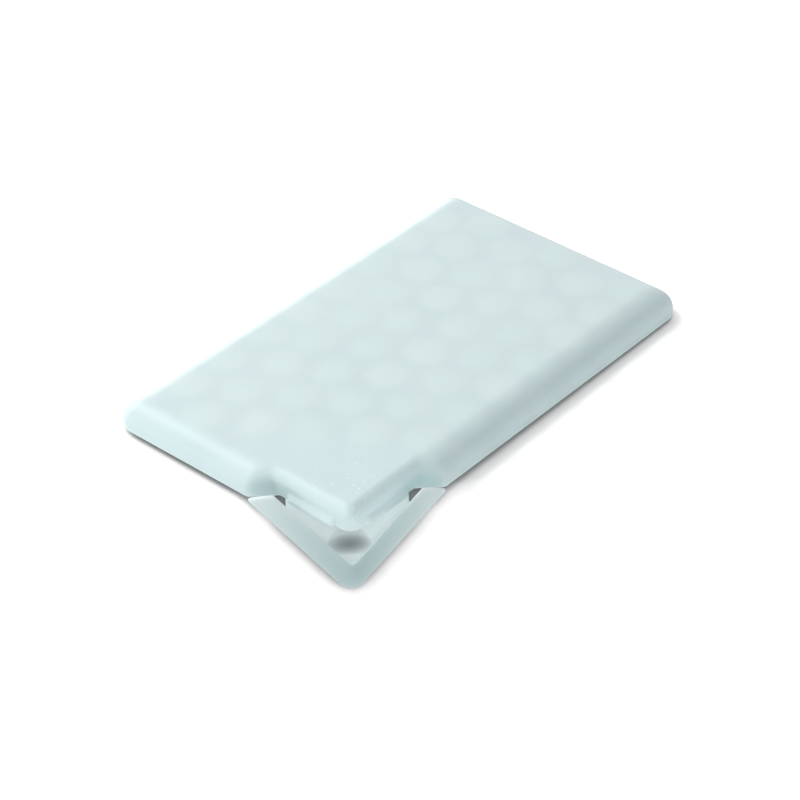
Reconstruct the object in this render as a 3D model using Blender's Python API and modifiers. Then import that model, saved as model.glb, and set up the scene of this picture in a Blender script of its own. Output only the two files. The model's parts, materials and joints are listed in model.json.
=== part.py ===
"""Mint card dispenser.

A flat case of frosted polypropylene, the size of a thick bank card. A top shell with rounded edges
stands on a base plate. One corner is a flap on a film hinge: it swings down from the underside and
bares the outlet, a narrow nose of the top shell that is open below. Mints lie in one layer inside.

Lengths are in metres. The origin is the centre of the base plate's underside and +Z is up. The long
side runs along X and the outlet corner is at -X, -Y. Shapes are drawn from that corner's foot.
"""

import math
import random

import bmesh
import bpy
from mathutils import Matrix, Vector

# Case
CASE_LENGTH = 0.083
CASE_WIDTH = 0.050
CASE_CORNER_RADIUS = 0.0034
CREST_CORNER_RADIUS = 0.0009

# Base plate
PLATE_THICKNESS = 0.0007
PLATE_EDGE_BREAK = 0.00015
RIB_CLEARANCE = 0.00045
RIB_THICKNESS = 0.0006
RIB_HEIGHT = 0.0009

# Top shell
SEAM_GAP = 0.0003
SHELL_EDGE_RUN = 0.0048
SHELL_WALL = 0.0009
SHELL_ROOF = 0.0007
SHOULDER_RADIUS = 0.0016
SHOULDER_EDGE_RUN = 0.0022
SHOULDER_EDGE_RISE = 0.0025
SHOULDER_CLEARANCE = 0.0003

# Outlet nose of the top shell
NOSE_SET_BACK = 0.00295
NOSE_CORNER_RADIUS = 0.0020
NOSE_WALL = 0.0007
NOSE_EDGE_RISE = 0.0014
NOSE_CREST_STEP = 0.0002

# Snap ledges on the nose
LEDGE_REACH = 0.00055
LEDGE_FACE_HEIGHT = 0.0009
LEDGE_SLOPE_HEIGHT = 0.0006
LEDGE_NEAR_END = 0.0062
LEDGE_FAR_GAP = 0.0027
LEDGE_END_RADIUS = 0.00028

# Corner flap
FLAP_OPEN_ANGLE = math.radians(48.0)
FLAP_PROUD = 0.0003
FLAP_TIP_RADIUS = 0.0028
RIM_WALL = 0.0009
RIM_CLEARANCE = 0.00025
RIM_CREST_RADIUS = 0.0007
ARM_END_RADIUS = 0.00025

# Dish in the flap's floor
DISH_SET_BACK = 0.0046
DISH_RADIUS = 0.00355
DISH_DEPTH = 0.0013
DISH_WALL = 0.0004

# Film hinge
HINGE_REACH = 0.0216
HINGE_GAP = 0.0009
FILM_SET_BACK = 0.00587
FILM_CLEARANCE = 0.0003
FILM_THICKNESS = 0.00025
WINDOW_LENGTH = 0.0024
WINDOW_DEPTH = 0.0019

# Mints
MINT_DIAMETER = 0.0073
MINT_THICKNESS = 0.0030
MINT_BAND = 0.0017
MINT_HEADROOM = 0.0003
MINT_GAP = 0.0004
MINT_ROW_SHARE = 0.95
MINT_COLUMN_SHARE = 1.1
MINT_SEED = 7

# Drawing
OVERRUN = 0.001
MERGE_DISTANCE = 0.00001
EDGE_STEPS = 8
CORNER_STEPS = 6
DISH_STEPS = 32
DISH_RINGS = 5
MINT_STEPS = 16
MINT_RINGS = 2
FILLET_LIMIT_SHARE = 0.48
DIAGONAL = math.sqrt(2.0)

# Sizes and places that follow
CASE_HEIGHT = PLATE_THICKNESS + MINT_THICKNESS + 2 * MINT_HEADROOM + SHELL_ROOF
SHELL_FOOT = PLATE_THICKNESS + SEAM_GAP
ROOF_HEIGHT = CASE_HEIGHT - SHELL_ROOF
SHOULDER_WALL_TOP = CASE_HEIGHT - SHOULDER_EDGE_RISE
NOSE_WALL_TOP = CASE_HEIGHT - NOSE_EDGE_RISE
NOSE_EDGE_RUN = SHELL_EDGE_RUN + NOSE_CREST_STEP - NOSE_SET_BACK
PLATE_REACH = HINGE_REACH + HINGE_GAP / DIAGONAL
FLAP_REACH = HINGE_REACH - HINGE_GAP / DIAGONAL
SHELL_REACH = FLAP_REACH + SHOULDER_CLEARANCE * DIAGONAL
LEDGE_FAR_END = SHELL_REACH - NOSE_SET_BACK - LEDGE_FAR_GAP
RIB_SET_BACK = SHELL_WALL + RIB_CLEARANCE
RIM_WIDTH = NOSE_SET_BACK + FLAP_PROUD - RIM_CLEARANCE
FILM_WIDTH = HINGE_GAP - 2 * FILM_CLEARANCE
FILM_LENGTH = HINGE_REACH * DIAGONAL - 2 * FILM_SET_BACK
MINT_MIDDLE = PLATE_THICKNESS + MINT_HEADROOM + MINT_THICKNESS / 2
CASE_CORNER = Vector((-CASE_LENGTH / 2, -CASE_WIDTH / 2, 0))
HINGE_POINT = Vector((HINGE_REACH / 2, HINGE_REACH / 2, 0))
HINGE_AXIS = Vector((1, -1, 0)).normalized()

FROSTED_COLOUR = (0.80, 0.90, 0.89)
MINT_COLOUR = (0.66, 0.83, 0.76)
FROSTED_ROUGHNESS = 0.45
MINT_ROUGHNESS = 0.7


def clear_scene():
    for item in list(bpy.data.objects):
        bpy.data.objects.remove(item)


def make_collection(name):
    collection = bpy.data.collections.new(name)
    bpy.context.scene.collection.children.link(collection)
    return collection


def plastic(name, colour, roughness):
    material = bpy.data.materials.new(name)
    material.use_nodes = True
    shader = material.node_tree.nodes["Principled BSDF"]
    shader.inputs["Base Color"].default_value = (*colour, 1)
    shader.inputs["Roughness"].default_value = roughness
    shader.inputs["Metallic"].default_value = 0
    material.diffuse_color = (*colour, 1)
    return material


def place(name, mesh, collection, parent, material):
    piece = bpy.data.objects.new(name, mesh)
    if material is not None and not mesh.materials:
        mesh.materials.append(material)
    collection.objects.link(piece)
    piece.parent = parent
    return piece


def empty(name, location, parent, collection):
    marker = bpy.data.objects.new(name, None)
    marker.location = location
    marker.parent = parent
    collection.objects.link(marker)
    return marker


def combine(piece, other, operation):
    """Join another solid to a piece, or cut it out, and keep that solid as a guide."""
    step = piece.modifiers.new(other.name, "BOOLEAN")
    step.operation = operation
    step.solver = "EXACT"
    step.object = other
    other.hide_render = True
    other.display_type = "WIRE"


def smooth(mesh, angle):
    mesh.shade_smooth()
    mesh.set_sharp_from_angle(angle=angle)


def rounded_polygon(corners, radii):
    """Points round a polygon, anticlockwise, with an arc at each corner."""
    points = []
    for index, radius in enumerate(radii):
        corner = Vector(corners[index])
        back = Vector(corners[index - 1]) - corner
        onward = Vector(corners[(index + 1) % len(corners)]) - corner
        half_angle = back.angle(onward) / 2
        room = FILLET_LIMIT_SHARE * min(back.length, onward.length)
        set_back = min(radius / math.tan(half_angle), room)
        fitted = set_back * math.tan(half_angle)
        bisector = (back.normalized() + onward.normalized()).normalized()
        centre = corner + bisector * (fitted / math.sin(half_angle))
        start = corner + back.normalized() * set_back - centre
        turn = start.angle_signed(corner + onward.normalized() * set_back - centre)
        heading = math.atan2(start.y, start.x)
        for step in range(CORNER_STEPS + 1):
            angle = heading - turn * step / CORNER_STEPS
            points.append(centre + fitted * Vector((math.cos(angle), math.sin(angle))))
    return points


def lift(points, height):
    return [Vector((point.x, point.y, height)) for point in points]


def loft_mesh(name, rings):
    """A closed solid through rings of points, from the lowest to the highest."""
    builder = bmesh.new()
    loops = [[builder.verts.new(point) for point in ring] for ring in rings]
    builder.faces.new(reversed(loops[0]))
    for lower, upper in zip(loops, loops[1:]):
        for index in range(len(lower)):
            following = (index + 1) % len(lower)
            builder.faces.new((lower[index], lower[following], upper[following], upper[index]))
    builder.faces.new(loops[-1])
    mesh = bpy.data.meshes.new(name)
    builder.to_mesh(mesh)
    builder.free()
    return mesh


def turned_mesh(name, profile, steps):
    """A closed solid turned about Z from a profile that runs down its outer side."""
    line = bpy.data.meshes.new(name + "_profile")
    line.from_pydata([(radius, 0, height) for radius, height in profile],
                     [(index, index + 1) for index in range(len(profile) - 1)], [])
    turning = bpy.data.objects.new(name + "_profile", line)
    bpy.context.scene.collection.objects.link(turning)
    screw = turning.modifiers.new("turn", "SCREW")
    screw.steps = steps
    screw.render_steps = steps
    screw.use_merge_vertices = True
    screw.merge_threshold = MERGE_DISTANCE
    bpy.context.view_layer.update()
    evaluated = turning.evaluated_get(bpy.context.evaluated_depsgraph_get())
    mesh = bpy.data.meshes.new_from_object(evaluated)
    mesh.name = name
    bpy.data.objects.remove(turning)
    return mesh


def block_mesh(name, low, high):
    """A box between two corners, in the frame of the diagonal through the outlet corner."""
    builder = bmesh.new()
    bmesh.ops.create_cube(builder, size=1)
    size = high - low
    bmesh.ops.scale(builder, vec=size, verts=builder.verts)
    bmesh.ops.translate(builder, vec=(low + high) / 2, verts=builder.verts)
    turn = Matrix.Rotation(math.pi / 4, 3, "Z")
    bmesh.ops.rotate(builder, cent=(0, 0, 0), matrix=turn, verts=builder.verts)
    mesh = bpy.data.meshes.new(name)
    builder.to_mesh(mesh)
    builder.free()
    return mesh


def ellipse_inset(height, foot, top, run):
    """How far a quarter ellipse has drawn in at a height."""
    climbed = min(max((height - foot) / (top - foot), 0), 1)
    return run * (1 - math.sqrt(1 - climbed * climbed))


def outer_insets(height):
    """How far the shell's sides, shoulders and nose have drawn in at a height."""
    return (ellipse_inset(height, SHELL_FOOT, CASE_HEIGHT, SHELL_EDGE_RUN),
            ellipse_inset(height, SHOULDER_WALL_TOP, CASE_HEIGHT, SHOULDER_EDGE_RUN),
            NOSE_SET_BACK + ellipse_inset(height, NOSE_WALL_TOP, CASE_HEIGHT, NOSE_EDGE_RUN))


def inner_insets(height):
    """The same for the walls of the chamber and the outlet."""
    run = SHELL_EDGE_RUN - SHELL_WALL
    shoulder_run = SHOULDER_EDGE_RUN - SHELL_WALL
    nose_run = NOSE_EDGE_RUN - NOSE_WALL
    nose_wall = NOSE_SET_BACK + NOSE_WALL
    return (SHELL_WALL + ellipse_inset(height, SHELL_FOOT, ROOF_HEIGHT, run),
            SHELL_WALL + ellipse_inset(height, SHOULDER_WALL_TOP, ROOF_HEIGHT, shoulder_run),
            nose_wall + ellipse_inset(height, NOSE_WALL_TOP, ROOF_HEIGHT, nose_run))


def blend_radius(foot_radius, crest_radius, share):
    return foot_radius + (crest_radius - foot_radius) * share


def shell_outline(insets, share, wall):
    """The top shell in plan, or its chamber, at one height."""
    side, shoulder, nose = insets
    reach = SHELL_REACH + shoulder * DIAGONAL
    right = CASE_LENGTH - side
    back = CASE_WIDTH - side
    corners = ((side, reach - side), (nose, reach - nose), (nose, nose), (reach - nose, nose),
               (reach - side, side), (right, side), (right, back), (side, back))
    case_radius = blend_radius(CASE_CORNER_RADIUS - wall, CREST_CORNER_RADIUS, share)
    nose_radius = blend_radius(NOSE_CORNER_RADIUS - wall, CREST_CORNER_RADIUS, share)
    radii = (SHOULDER_RADIUS, SHOULDER_RADIUS, nose_radius, SHOULDER_RADIUS,
             SHOULDER_RADIUS, case_radius, case_radius, case_radius)
    return rounded_polygon(corners, radii)


def quarter_heights(foot, top):
    """Heights up a quarter round, close together near its crest."""
    for step in range(EDGE_STEPS + 1):
        yield step / EDGE_STEPS, foot + (top - foot) * math.sin(math.pi / 2 * step / EDGE_STEPS)


def shell_body_mesh():
    rings = []
    for share, height in quarter_heights(SHELL_FOOT, CASE_HEIGHT):
        rings.append(lift(shell_outline(outer_insets(height), share, 0), height))
    return loft_mesh("top_shell", rings)


def chamber_mesh():
    foot_outline = shell_outline(inner_insets(SHELL_FOOT), 0, SHELL_WALL)
    rings = [lift(foot_outline, SHELL_FOOT - OVERRUN)]
    for share, height in quarter_heights(SHELL_FOOT, ROOF_HEIGHT):
        rings.append(lift(shell_outline(inner_insets(height), share, SHELL_WALL), height))
    return loft_mesh("chamber", rings)


def ledge_mesh(name, mirrored):
    """A snap ledge along one wall of the nose, with a sloped top that runs into the wall."""
    rooted = NOSE_SET_BACK + NOSE_WALL / 2
    face = NOSE_SET_BACK - LEDGE_REACH
    face_top = SHELL_FOOT + LEDGE_FACE_HEIGHT
    levels = ((face, SHELL_FOOT), (face, face_top), (NOSE_SET_BACK, face_top + LEDGE_SLOPE_HEIGHT))
    rings = []
    for front, height in levels:
        corners = [(rooted, LEDGE_FAR_END), (front, LEDGE_FAR_END),
                   (front, LEDGE_NEAR_END), (rooted, LEDGE_NEAR_END)]
        if mirrored:
            corners = [(y, x) for x, y in reversed(corners)]
        rings.append(lift(rounded_polygon(corners, (LEDGE_END_RADIUS,) * len(corners)), height))
    return loft_mesh(name, rings)


def make_top_shell(parts, cutters, corner, material):
    shell = place("top_shell", shell_body_mesh(), parts, corner, material)
    smooth(shell.data, math.radians(40))
    combine(shell, place("chamber", chamber_mesh(), cutters, corner, None), "DIFFERENCE")
    for name, mirrored in (("ledge_short_side", False), ("ledge_long_side", True)):
        ledge = place(name, ledge_mesh(name, mirrored), cutters, corner, None)
        combine(shell, ledge, "UNION")


def plate_outline(inset, reach, radius):
    right = CASE_LENGTH - inset
    back = CASE_WIDTH - inset
    corners = ((inset, reach - inset), (reach - inset, inset), (right, inset), (right, back),
               (inset, back))
    return rounded_polygon(corners, (ARM_END_RADIUS, ARM_END_RADIUS, radius, radius, radius))


def plate_mesh():
    rings = [lift(plate_outline(PLATE_EDGE_BREAK, PLATE_REACH, CASE_CORNER_RADIUS), 0),
             lift(plate_outline(0, PLATE_REACH, CASE_CORNER_RADIUS), PLATE_EDGE_BREAK),
             lift(plate_outline(0, PLATE_REACH, CASE_CORNER_RADIUS), PLATE_THICKNESS)]
    return loft_mesh("base_plate", rings)


def rib_mesh(name, inset, reach, low, high):
    outline = plate_outline(inset, reach, CASE_CORNER_RADIUS - inset)
    return loft_mesh(name, [lift(outline, low), lift(outline, high)])


def make_base_plate(parts, cutters, corner, material):
    plate = place("base_plate", plate_mesh(), parts, corner, material)
    smooth(plate.data, math.radians(30))
    rib_top = PLATE_THICKNESS + RIB_HEIGHT
    rib_reach = PLATE_REACH + RIB_SET_BACK * DIAGONAL
    rib = place("rib_block", rib_mesh("rib_block", RIB_SET_BACK, rib_reach,
                                      PLATE_THICKNESS / 2, rib_top), cutters, corner, None)
    inner = RIB_SET_BACK + RIB_THICKNESS
    room = place("rib_room", rib_mesh("rib_room", inner, PLATE_REACH, PLATE_THICKNESS,
                                      rib_top + OVERRUN), cutters, corner, None)
    combine(plate, rib, "UNION")
    combine(plate, room, "DIFFERENCE")


def flap_outline(inset, reach, radius):
    corners = ((inset, reach - inset), (inset, inset), (reach - inset, inset))
    return rounded_polygon(corners, (ARM_END_RADIUS, radius, ARM_END_RADIUS))


def rim_levels(wall):
    """Set-back and height up the rim's curve, outside or a wall's thickness further in."""
    run = SHELL_EDGE_RUN - wall
    rise = CASE_HEIGHT - SHELL_FOOT - wall
    widest = math.acos((SHELL_EDGE_RUN - RIM_WIDTH) / run)
    for step in range(EDGE_STEPS + 1):
        angle = widest * step / EDGE_STEPS
        inset = SHELL_EDGE_RUN - run * math.cos(angle) - FLAP_PROUD
        yield step / EDGE_STEPS, inset, SHELL_FOOT + rise * math.sin(angle)


def flap_mesh():
    outer = -FLAP_PROUD
    rings = [lift(flap_outline(outer + PLATE_EDGE_BREAK, FLAP_REACH, FLAP_TIP_RADIUS), 0),
             lift(flap_outline(outer, FLAP_REACH, FLAP_TIP_RADIUS), PLATE_EDGE_BREAK)]
    for share, inset, height in rim_levels(0):
        radius = blend_radius(FLAP_TIP_RADIUS, RIM_CREST_RADIUS, share)
        rings.append(lift(flap_outline(inset, FLAP_REACH, radius), height))
    return loft_mesh("corner_flap", rings)


def flap_hollow_mesh():
    """The room behind the rim, open above the floor and at the arms' ends."""
    reach = FLAP_REACH + OVERRUN
    foot_radius = FLAP_TIP_RADIUS - RIM_WALL
    rings = [lift(flap_outline(RIM_WALL - FLAP_PROUD, reach, foot_radius), PLATE_THICKNESS)]
    for share, inset, height in rim_levels(RIM_WALL):
        radius = blend_radius(foot_radius, RIM_CREST_RADIUS, share)
        rings.append(lift(flap_outline(inset, reach, radius), height))
    crest = flap_outline(RIM_WIDTH - FLAP_PROUD, reach, RIM_CREST_RADIUS)
    rings.append(lift(crest, CASE_HEIGHT + OVERRUN))
    return loft_mesh("flap_hollow", rings)


def cap_profile(radius, depth, head):
    """A spherical cap below the floor's top, closed by a flat head at some height."""
    sphere = (radius * radius + depth * depth) / (2 * depth)
    centre = sphere - depth
    spread = math.acos((centre - min(head, 0)) / sphere)
    profile = [(0, head)]
    if head > 0:
        profile.append((radius, head))
    for ring in range(DISH_RINGS):
        angle = spread * (1 - ring / DISH_RINGS)
        profile.append((sphere * math.sin(angle), centre - sphere * math.cos(angle)))
    profile.append((0, -depth))
    return profile


def make_dish(flap, cutters, hinge, to_hinge):
    """A round dish in the floor, whose wall bulges a little below the flap."""
    seat = Matrix.Translation(Vector((DISH_SET_BACK, DISH_SET_BACK, PLATE_THICKNESS)))
    bulge = cap_profile(DISH_RADIUS, DISH_DEPTH + DISH_WALL, -PLATE_THICKNESS / 2)
    hollow = cap_profile(DISH_RADIUS, DISH_DEPTH, OVERRUN)
    for name, profile, operation in (("dish_bulge", bulge, "UNION"),
                                     ("dish_hollow", hollow, "DIFFERENCE")):
        mesh = turned_mesh(name, profile, DISH_STEPS)
        mesh.transform(to_hinge @ seat)
        combine(flap, place(name, mesh, cutters, hinge, None), operation)


def make_windows(flap, cutters, hinge, to_hinge):
    """Relief windows in the floor, at both ends of the film hinge."""
    hinge_line = HINGE_REACH / DIAGONAL
    for name, side in (("window_short_side", 1), ("window_long_side", -1)):
        near = side * FILM_LENGTH / 2
        far = side * (FILM_LENGTH / 2 + WINDOW_LENGTH)
        low = Vector((hinge_line - WINDOW_DEPTH, min(near, far), -OVERRUN))
        high = Vector((hinge_line, max(near, far), PLATE_THICKNESS + OVERRUN))
        mesh = block_mesh(name, low, high)
        mesh.transform(to_hinge)
        combine(flap, place(name, mesh, cutters, hinge, None), "DIFFERENCE")


def make_corner_flap(parts, cutters, hinge, material):
    """The flap is drawn shut, then hangs on the hinge's marker, which holds it open."""
    to_hinge = Matrix.Translation(-HINGE_POINT)
    body = flap_mesh()
    body.transform(to_hinge)
    flap = place("corner_flap", body, parts, hinge, material)
    smooth(body, math.radians(35))
    hollow = flap_hollow_mesh()
    hollow.transform(to_hinge)
    combine(flap, place("flap_hollow", hollow, cutters, hinge, None), "DIFFERENCE")
    make_dish(flap, cutters, hinge, to_hinge)
    make_windows(flap, cutters, hinge, to_hinge)


def make_hinge_film(parts, corner, material):
    hinge_line = HINGE_REACH / DIAGONAL
    low = Vector((hinge_line - FILM_WIDTH / 2, -FILM_LENGTH / 2, 0))
    high = Vector((hinge_line + FILM_WIDTH / 2, FILM_LENGTH / 2, FILM_THICKNESS))
    place("hinge_film", block_mesh("hinge_film", low, high), parts, corner, material)


def mint_mesh():
    """A round tablet: a straight band between two low domes."""
    radius = MINT_DIAMETER / 2
    rise = (MINT_THICKNESS - MINT_BAND) / 2
    sphere = (radius * radius + rise * rise) / (2 * rise)
    dome = []
    for ring in range(MINT_RINGS + 1):
        out = radius * ring / MINT_RINGS
        fall = sphere - math.sqrt(sphere * sphere - out * out)
        dome.append((out, MINT_THICKNESS / 2 - fall))
    profile = dome + [(out, -height) for out, height in reversed(dome)]
    return turned_mesh("mint", profile, MINT_STEPS)


def mint_places():
    """Centres of the mints: offset rows over the floor, each mint a little out of line."""
    radius = MINT_DIAMETER / 2
    side, shoulder = inner_insets(MINT_MIDDLE + MINT_BAND / 2)[:2]
    edge = side + MINT_GAP + radius
    pitch = MINT_DIAMETER + MINT_GAP
    row_count = 1 + int((CASE_WIDTH - 2 * edge) / (pitch * MINT_ROW_SHARE))
    column_count = 1 + int((CASE_LENGTH - 2 * edge) / (pitch * MINT_COLUMN_SHARE))
    row_pitch = (CASE_WIDTH - 2 * edge) / (row_count - 1)
    column_pitch = (CASE_LENGTH - 2 * edge) / (column_count - 1)
    nearest = min(column_pitch, math.hypot(column_pitch / 2, row_pitch))
    play = max(nearest - pitch, 0) / 2
    mouth = SHELL_REACH + (shoulder + MINT_GAP + radius + play) * DIAGONAL
    chance = random.Random(MINT_SEED)
    for row in range(row_count):
        offset = row % 2
        for column in range(column_count - offset):
            x = edge + (column + offset / 2) * column_pitch
            y = edge + row * row_pitch
            slip = play * chance.random()
            heading = 2 * math.pi * chance.random()
            if x + y < mouth:
                continue
            x += slip * math.cos(heading)
            y += slip * math.sin(heading)
            x = min(max(x, edge), CASE_LENGTH - edge)
            y = min(max(y, edge), CASE_WIDTH - edge)
            yield x, y


def make_mints(parts, corner, material):
    mesh = mint_mesh()
    smooth(mesh, math.radians(35))
    for number, (x, y) in enumerate(mint_places(), start=1):
        mint = place(f"mint_{number:02d}", mesh, parts, corner, material)
        mint.location = (x, y, MINT_MIDDLE)


def main():
    clear_scene()
    parts = make_collection("mint_card_dispenser")
    cutters = make_collection("cutters")
    frosted = plastic("frosted_polypropylene", FROSTED_COLOUR, FROSTED_ROUGHNESS)
    pressed = plastic("pressed_mint", MINT_COLOUR, MINT_ROUGHNESS)
    corner = empty("outlet_corner", CASE_CORNER, None, parts)
    hinge = empty("flap_hinge", HINGE_POINT, corner, parts)
    hinge.rotation_mode = "QUATERNION"
    hinge.rotation_quaternion = Matrix.Rotation(FLAP_OPEN_ANGLE, 3, HINGE_AXIS).to_quaternion()
    make_top_shell(parts, cutters, corner, frosted)
    make_base_plate(parts, cutters, corner, frosted)
    make_corner_flap(parts, cutters, hinge, frosted)
    make_hinge_film(parts, corner, frosted)
    make_mints(parts, corner, pressed)


main()
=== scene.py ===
"""Looks of the mint card dispenser: frosted case, corner flap on a film hinge, mints inside.

Lengths are in metres, in the part's frame. Shapes are drawn from the foot of the outlet corner with
the flap shut, and moved to their place last. Insets are measured inwards from the case's sides.
"""

import json
import math
import random

import bmesh
import bpy
from mathutils import Matrix, Vector
from mathutils.kdtree import KDTree


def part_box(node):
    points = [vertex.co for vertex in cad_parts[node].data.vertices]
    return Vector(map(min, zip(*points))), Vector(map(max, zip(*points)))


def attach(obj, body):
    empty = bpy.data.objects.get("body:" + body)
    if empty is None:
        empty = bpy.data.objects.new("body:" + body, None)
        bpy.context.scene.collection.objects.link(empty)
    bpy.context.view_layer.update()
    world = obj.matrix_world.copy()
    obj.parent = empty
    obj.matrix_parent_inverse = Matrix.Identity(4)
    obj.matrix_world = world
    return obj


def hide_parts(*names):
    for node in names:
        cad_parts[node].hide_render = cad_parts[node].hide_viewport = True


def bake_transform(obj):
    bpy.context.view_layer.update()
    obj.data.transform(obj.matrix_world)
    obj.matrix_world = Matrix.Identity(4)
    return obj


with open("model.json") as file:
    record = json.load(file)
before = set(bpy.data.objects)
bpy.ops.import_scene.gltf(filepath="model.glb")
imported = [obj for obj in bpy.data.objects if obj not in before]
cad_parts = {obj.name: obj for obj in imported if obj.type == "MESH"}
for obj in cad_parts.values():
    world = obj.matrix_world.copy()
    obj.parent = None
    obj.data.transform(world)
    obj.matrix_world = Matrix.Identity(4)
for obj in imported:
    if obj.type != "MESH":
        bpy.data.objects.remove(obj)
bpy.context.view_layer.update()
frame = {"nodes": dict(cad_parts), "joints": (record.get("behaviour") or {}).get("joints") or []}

# Case, with its outer size from the part
PLATE_LOW, PLATE_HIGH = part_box("base_plate")
CASE_LENGTH = PLATE_HIGH.x - PLATE_LOW.x
CASE_WIDTH = PLATE_HIGH.y - PLATE_LOW.y
CASE_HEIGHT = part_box("top_shell")[1].z
CASE_CORNER = Vector((PLATE_LOW.x, PLATE_LOW.y, 0))
CASE_CORNER_RADIUS = 0.0034
CREST_CORNER_RADIUS = 0.0009
DIAGONAL = math.sqrt(2.0)

# Base plate
PLATE_THICKNESS = 0.00079
PLATE_FOOT_ROUND = 0.00030
PLATE_SEAM_ROUND = 0.00002
RIB_SET_BACK = 0.00135
RIB_THICKNESS = 0.0006
RIB_TOP = PLATE_HIGH.z

# Top shell
SHELL_FOOT = 0.0008
SHELL_EDGE_FOOT = 0.0009
SHELL_FOOT_ROUND = 0.00001
SHELL_EDGE_RUN = 0.0048
SHELL_WALL = 0.0009
SHELL_ROOF = 0.0007
ROOF_HEIGHT = CASE_HEIGHT - SHELL_ROOF
SHOULDER_RADIUS = 0.0017
SHOULDER_LEAN = 0.0016
SHOULDER_EDGE_RUN = 0.0022
SHOULDER_EDGE_RISE = 0.0025
NOSE_SET_BACK = 0.00295
NOSE_CORNER_RADIUS = 0.0020
NOSE_WALL = 0.0007
NOSE_EDGE_RISE = 0.0021
NOSE_CREST_STEP = 0.0001
NOSE_EDGE_RUN = SHELL_EDGE_RUN + NOSE_CREST_STEP - NOSE_SET_BACK

# Snap ledges on the nose
LEDGE_REACH = 0.00055
LEDGE_FACE_TOP = 0.0011
LEDGE_SLOPE_TOP = 0.0024
LEDGE_NEAR_END = 0.0062
LEDGE_FAR_END = 0.0158
LEDGE_END_ROUND = 0.0008

# Film hinge and flap
HINGE = frame["joints"][0]
HINGE_POINT = Vector(HINGE["pos_m"])
HINGE_AXIS = Vector(HINGE["axis"]).normalized()
HINGE_REACH = 2 * (HINGE_POINT.x - CASE_CORNER.x)
HINGE_GAP = 0.00026
PLATE_REACH = HINGE_REACH + HINGE_GAP / DIAGONAL
FLAP_REACH = HINGE_REACH - HINGE_GAP / DIAGONAL
SHOULDER_CLEARANCE = 0.0001
SHELL_REACH = FLAP_REACH + SHOULDER_CLEARANCE * DIAGONAL
FILM_SET_BACK = 0.00587
FILM_LENGTH = HINGE_REACH * DIAGONAL - 2 * FILM_SET_BACK
FILM_THICKNESS = 0.00025
FLAP_OPEN_ANGLE = -math.radians(HINGE["range_deg"][0])
FLAP_PROUD = 0.0003
FLAP_TIP_RADIUS = 0.0028
RIM_WALL = 0.0009
RIM_WIDTH = 0.0030
RIM_CREST_RADIUS = 0.0007
ARM_END_RADIUS = 0.00035
FLAP_EDGE_ROUND = 0.00010
WINDOW_LENGTH = 0.0024
WINDOW_DEPTH = 0.0019
DISH_SET_BACK = 0.0046
DISH_RADIUS = 0.00355
DISH_DEPTH = 0.0013
DISH_WALL = 0.0004
# The thinnest part of the dish is a band across it, a little towards the hinge from its middle
DISH_THIN_LENGTH = 0.0017
DISH_THIN_WIDTH = 0.0036
DISH_THIN_SHIFT = 0.00085

# Mints, with their diameter and thickness from the part; the tilt is in radians
MINT_NODES = sorted(name for name in frame["nodes"] if name.startswith("mint_"))
MINT_LOW, MINT_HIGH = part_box(MINT_NODES[0])
MINT_DIAMETER = MINT_HIGH.x - MINT_LOW.x
MINT_THICKNESS = MINT_HIGH.z - MINT_LOW.z
MINT_BAND = 0.0017
MINT_TILT = 0.012
MINT_TURN_SEED = 3
# A tablet is pressed from a ball of radius 1. Its corners are spread outwards until the tablet's
# rim stops them, and those that it stops make the band.
BALL_SEGMENTS = 36
BALL_RINGS = 26
BALL_SPREAD = 1.1
RIM_SOFTNESS = 0.12
FACE_SOFTNESS = 0.00015

# Drawing, with angles in degrees
OVERRUN = 0.001
FILLET_LIMIT_SHARE = 0.48
ARC_STEPS = 14
EDGE_STEPS = 5
RISE_STEPS = 26
LEDGE_STEPS = 14
NOSE_WALL_POINTS = 56
DISH_STEPS = 64
DISH_RINGS = 14
FILM_STEPS = 8
FLAP_EDGE_SEGMENTS = 3
FLAP_BEVEL_ANGLE = 38
SHELL_SHARP_ANGLE = 40
PLATE_SHARP_ANGLE = 35
FLAP_SHARP_ANGLE = 40
FILM_SHARP_ANGLE = 50
MINT_SHARP_ANGLE = 60

# Moulded surface. A real spark-eroded grain is a few hundredths of a millimetre wide: it is drawn
# coarser, so that it shows.
FLOW_MARK_SIZE = 0.014
FLOW_RAMP = (0.3, 0.7)
EROSION_GRAIN = 0.00020
EROSION_DEPTH = 0.00002
EROSION_STRENGTH = 0.3
SCATTER_LENGTH = 0.0012

# The share of a wall that is clear: for the eye, and for the lamps. The shell lets most of the
# lamps' light in, so that the mints and the plate below it are lit.
SHELL_SEEN_THROUGH = 0.04
SHELL_LIT_THROUGH = 0.75
PLATE_SEEN_THROUGH = 0.05
PLATE_LIT_THROUGH = 0.1
FLAP_SEEN_THROUGH = 0.04
FLAP_LIT_THROUGH = 0.12
DISH_SEEN_THROUGH = 0.75

# Attributes kept on a mesh's corners for its material, from 0 to 1: where they rise and fall, and
# how close together the shell's corners are that carry them
# Painted light: how much paler a wall is drawn over the mints in the shell and on the flap
PAINTED_LIGHT_SHARE = "painted_light_share"
THIN_WALL = "thin_wall"
# Painted light on the flap's rim: the share it is drawn paler at the arms' ends than at the tip
ARM_PAINTED_LIGHT_SHARE = 0.55
FLOOR_FACES_UP = 0.2
MINT_SHINE_EDGE = 0.0028
MINT_SHINE_REACH = 0.0043
MINT_SHINE_LOW = 0.0034
MINT_SHINE_RANGE = (0.3, 1.0)
MINT_SHINE_SEED = 7
GRID_STEP = 0.0008

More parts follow.
